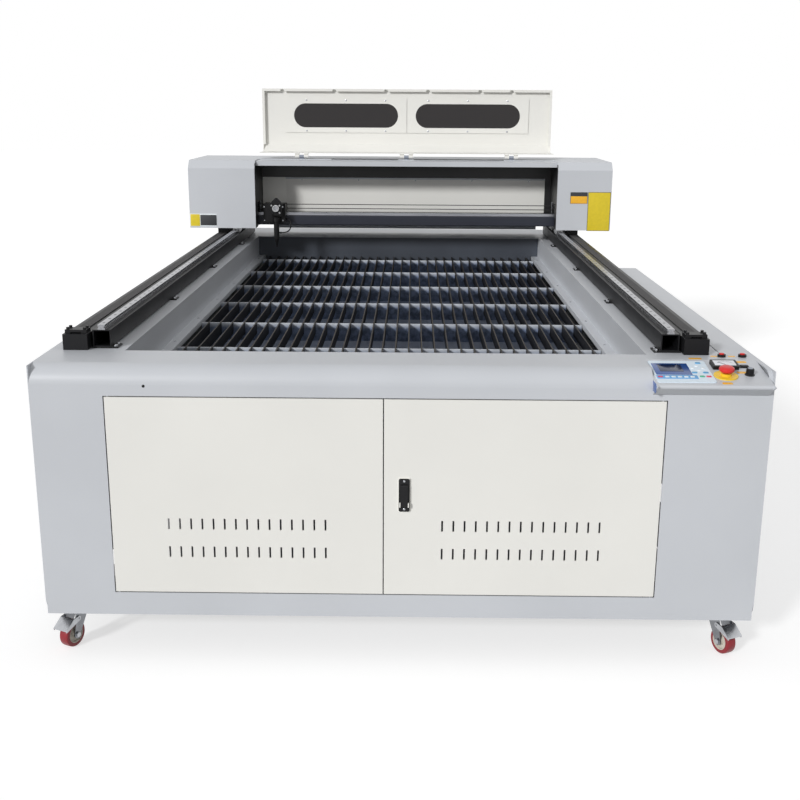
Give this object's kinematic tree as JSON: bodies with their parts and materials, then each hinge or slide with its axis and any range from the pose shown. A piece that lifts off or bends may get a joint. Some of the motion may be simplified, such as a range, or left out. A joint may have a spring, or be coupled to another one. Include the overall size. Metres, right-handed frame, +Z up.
{
  "type": "laser cutting machine",
  "caption": "Flat-bed gantry laser cutting machine with a notched blade bed, a beam that travels on side rails, a head under a hinged hood, cabinet doors, sloping console and brake casters.",
  "frame": {"origin": "on the floor under the middle of the whole machine", "axes": "+X to the operator's right, +Y from the console end to the back, +Z up"},
  "size_m": [2.02, 3.3489, 1.546],
  "materials": {
    "body_paint": "satin",
    "cream_paint": "satin",
    "frame_paint": "matt",
    "black_paint": "satin",
    "beam_paint": "satin",
    "blade_steel": "rolled",
    "guide_steel": "ground",
    "tray_steel": "matt",
    "belt_rubber": "matt",
    "black_rubber": "matt",
    "silver": "satin",
    "tube_glass": "clear",
    "pane": "tinted",
    "zinc": "polished",
    "keypad": "matt",
    "black_plastic": "matt",
    "yellow_plastic": "gloss",
    "red_plastic": "gloss",
    "red_wheel": "satin"
  },
  "bodies": {
    "frame": {"front_panel": "body_paint", "left_side_panel": "body_paint", "right_side_panel": "body_paint", "side_cabinet": "body_paint", "rear_panel": "body_paint", "base_frame": "frame_paint", "bed_walls": "body_paint", "support_bars": "blade_steel", "bed_blades": "blade_steel", "dust_tray": "tray_steel", "rail_beams": "black_paint", "guide_rails": "guide_steel", "belt_channels": "black_paint", "drive_belts": "belt_rubber", "belt_clamps": "black_paint", "console_housing": "body_paint", "keypad_panel": "keypad", "current_meter": "black_plastic", "stop_collar": "yellow_plastic", "control_bezels": "silver", "door_pivots": "zinc"},
    "gantry": {"gantry_left_cover": "body_paint", "gantry_right_cover": "body_paint", "gantry_hood": "body_paint", "inner_panel": "cream_paint", "x_beam": "beam_paint", "x_guide_rail": "guide_steel", "x_belt": "black_rubber", "end_carriages": "silver", "drive_units": "black_paint", "laser_tube": "tube_glass", "lid_hinges": "zinc"},
    "lid": {"lid_shell": "cream_paint", "window_frames": "cream_paint", "window_panes": "pane"},
    "carriage": {"carriage": "black_plastic", "mirror_mount": "black_plastic", "air_hose": "black_rubber"},
    "lens": {"lens_tube": "black_plastic"},
    "left_door": {"left_door": "cream_paint"},
    "right_door": {"right_door": "cream_paint"},
    "latch_handle": {"latch_handle": "black_plastic"},
    "stop_button": {"stop_button": "red_plastic"},
    "left_push_button": {"left_push_button": "black_plastic"},
    "right_push_button": {"right_push_button": "red_plastic"},
    "rocker_switch": {"rocker_switch": "red_plastic"},
    "speed_knob": {"speed_knob": "black_plastic"},
    "front_left_fork": {"front_left_fork": "zinc"},
    "front_left_wheel": {"front_left_wheel": "red_wheel"},
    "front_left_pedal": {"front_left_pedal": "zinc"},
    "front_right_fork": {"front_right_fork": "zinc"},
    "front_right_wheel": {"front_right_wheel": "red_wheel"},
    "front_right_pedal": {"front_right_pedal": "zinc"},
    "rear_left_fork": {"rear_left_fork": "zinc"},
    "rear_left_wheel": {"rear_left_wheel": "red_wheel"},
    "rear_left_pedal": {"rear_left_pedal": "zinc"},
    "rear_right_fork": {"rear_right_fork": "zinc"},
    "rear_right_wheel": {"rear_right_wheel": "red_wheel"},
    "rear_right_pedal": {"rear_right_pedal": "zinc"}
  },
  "joints": [
    {"name": "gantry_slide", "type": "slide", "parent": "frame", "child": "gantry", "axis": [0, 1, 0], "range_m": [-2.38, 0.02]},
    {"name": "lid_hinge", "type": "hinge", "parent": "gantry", "child": "lid", "pos_m": [0.0295, 1.138, 1.226], "axis": [1, 0, 0], "range_deg": [0, 180]},
    {"name": "carriage_slide", "type": "slide", "parent": "gantry", "child": "carriage", "axis": [1, 0, 0], "range_m": [-0.01, 1.25]},
    {"name": "lens_slide", "type": "slide", "parent": "carriage", "child": "lens", "axis": [0, 0, 1], "range_m": [-0.02, 0.01], "deforming": ["air_hose"]},
    {"name": "left_door_hinge", "type": "hinge", "parent": "frame", "child": "left_door", "pos_m": [-0.729, -1.61, 0.462], "axis": [0, 0, -1], "range_deg": [0, 110]},
    {"name": "right_door_hinge", "type": "hinge", "parent": "frame", "child": "right_door", "pos_m": [0.716, -1.61, 0.462], "axis": [0, 0, 1], "range_deg": [0, 110]},
    {"name": "latch_hinge", "type": "hinge", "parent": "right_door", "child": "latch_handle", "pos_m": [0.0463, -1.6263, 0.449], "axis": [1, 0, 0], "range_deg": [0, 60]},
    {"name": "stop_press", "type": "slide", "parent": "frame", "child": "stop_button", "axis": [0, 0.1525, -0.9883], "range_m": [0, 0.004]},
    {"name": "left_push", "type": "slide", "parent": "frame", "child": "left_push_button", "axis": [0, 0, -1], "range_m": [0, 0.003], "stiffness_N_per_m": 300, "springref_m": -0.001},
    {"name": "right_push", "type": "slide", "parent": "frame", "child": "right_push_button", "axis": [0, 0, -1], "range_m": [0, 0.003], "stiffness_N_per_m": 300, "springref_m": -0.001},
    {"name": "rocker_tilt", "type": "hinge", "parent": "frame", "child": "rocker_switch", "pos_m": [0.94, -1.53244, 0.81068], "axis": [0, 0.9883, 0.1525], "range_deg": [-10, 10]},
    {"name": "knob_turn", "type": "hinge", "parent": "frame", "child": "speed_knob", "pos_m": [0.94, -1.5868, 0.8023], "axis": [0, -0.1525, 0.9883], "range_deg": [0, 270]},
    {"name": "front_left_swivel", "type": "hinge", "parent": "frame", "child": "front_left_fork", "pos_m": [-0.87, -1.541, 0.108], "axis": [0, 0, 1], "continuous": true},
    {"name": "front_left_roll", "type": "hinge", "parent": "front_left_fork", "child": "front_left_wheel", "pos_m": [-0.88268, -1.56819, 0.0375], "axis": [0.9063, -0.4226, 0], "continuous": true},
    {"name": "front_left_brake", "type": "hinge", "parent": "front_left_fork", "child": "front_left_pedal", "pos_m": [-0.88014, -1.56275, 0.084], "axis": [0.9063, -0.4226, 0], "range_deg": [0, 10]},
    {"name": "front_right_swivel", "type": "hinge", "parent": "frame", "child": "front_right_fork", "pos_m": [0.926, -1.541, 0.108], "axis": [0, 0, 1], "continuous": true},
    {"name": "front_right_roll", "type": "hinge", "parent": "front_right_fork", "child": "front_right_wheel", "pos_m": [0.93868, -1.56819, 0.0375], "axis": [0.9063, 0.4226, 0], "continuous": true},
    {"name": "front_right_brake", "type": "hinge", "parent": "front_right_fork", "child": "front_right_pedal", "pos_m": [0.93614, -1.56275, 0.084], "axis": [0.9063, 0.4226, 0], "range_deg": [0, 10]},
    {"name": "rear_left_swivel", "type": "hinge", "parent": "frame", "child": "rear_left_fork", "pos_m": [-0.87, 1.597, 0.108], "axis": [0, 0, 1], "continuous": true},
    {"name": "rear_left_roll", "type": "hinge", "parent": "rear_left_fork", "child": "rear_left_wheel", "pos_m": [-0.88268, 1.62419, 0.0375], "axis": [-0.9063, -0.4226, 0], "continuous": true},
    {"name": "rear_left_brake", "type": "hinge", "parent": "rear_left_fork", "child": "rear_left_pedal", "pos_m": [-0.88014, 1.61875, 0.084], "axis": [-0.9063, -0.4226, 0], "range_deg": [0, 10]},
    {"name": "rear_right_swivel", "type": "hinge", "parent": "frame", "child": "rear_right_fork", "pos_m": [0.85, 1.597, 0.108], "axis": [0, 0, 1], "continuous": true},
    {"name": "rear_right_roll", "type": "hinge", "parent": "rear_right_fork", "child": "rear_right_wheel", "pos_m": [0.86268, 1.62419, 0.0375], "axis": [-0.9063, 0.4226, 0], "continuous": true},
    {"name": "rear_right_brake", "type": "hinge", "parent": "rear_right_fork", "child": "rear_right_pedal", "pos_m": [0.86014, 1.61875, 0.084], "axis": [-0.9063, 0.4226, 0], "range_deg": [0, 10]}
  ]
}
